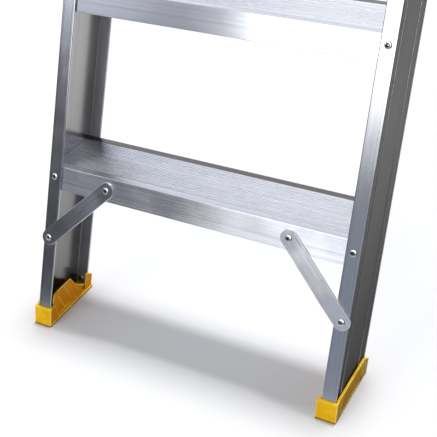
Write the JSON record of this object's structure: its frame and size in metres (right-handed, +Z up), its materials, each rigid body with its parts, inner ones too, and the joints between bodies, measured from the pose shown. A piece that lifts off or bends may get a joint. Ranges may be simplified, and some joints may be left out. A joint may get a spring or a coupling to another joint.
{
  "type": "stepladder base section with stabilising feet",
  "caption": "Lower front section of an aluminium stepladder: leaning channel stiles, ribbed treads, riveted knee braces and wide moulded yellow boots.",
  "frame": {"origin": "on the floor, under the middle of the part's box", "axes": "+X across the ladder to the right as seen from the front, +Y from the front towards the back, the way the stiles lean, +Z up"},
  "size_m": [0.524, 0.3236, 0.5815],
  "materials": {
    "stile_aluminium": "mill finish extrusion with fine drawing lines",
    "tread_aluminium": "mill finish ribbed extrusion, satin",
    "brace_aluminium": "satin flat bar with rounded ends",
    "rivet_aluminium": "bright pressed heads",
    "stub_steel": "dark broken mandrel end",
    "yellow_plastic": "moulded, lightly textured"
  },
  "bodies": {
    "root": {"stile_left": "stile_aluminium", "stile_right": "stile_aluminium", "tread_lower": "tread_aluminium", "tread_upper": "tread_aluminium", "brace_left": "brace_aluminium", "brace_right": "brace_aluminium", "foot_left": "yellow_plastic", "foot_right": "yellow_plastic", "rivets_lower_tread_front": "rivet_aluminium", "rivets_lower_tread_rear": "rivet_aluminium", "rivets_upper_tread_front": "rivet_aluminium", "rivets_upper_tread_rear": "rivet_aluminium", "rivets_brace_upper": "rivet_aluminium", "rivets_brace_lower": "rivet_aluminium", "rivets_foot": "rivet_aluminium", "rivet_stubs_lower_tread_front": "stub_steel", "rivet_stubs_lower_tread_rear": "stub_steel", "rivet_stubs_upper_tread_front": "stub_steel", "rivet_stubs_upper_tread_rear": "stub_steel", "rivet_stubs_brace_upper": "stub_steel", "rivet_stubs_brace_lower": "stub_steel", "rivet_stubs_foot": "stub_steel"}
  },
  "joints": []
}
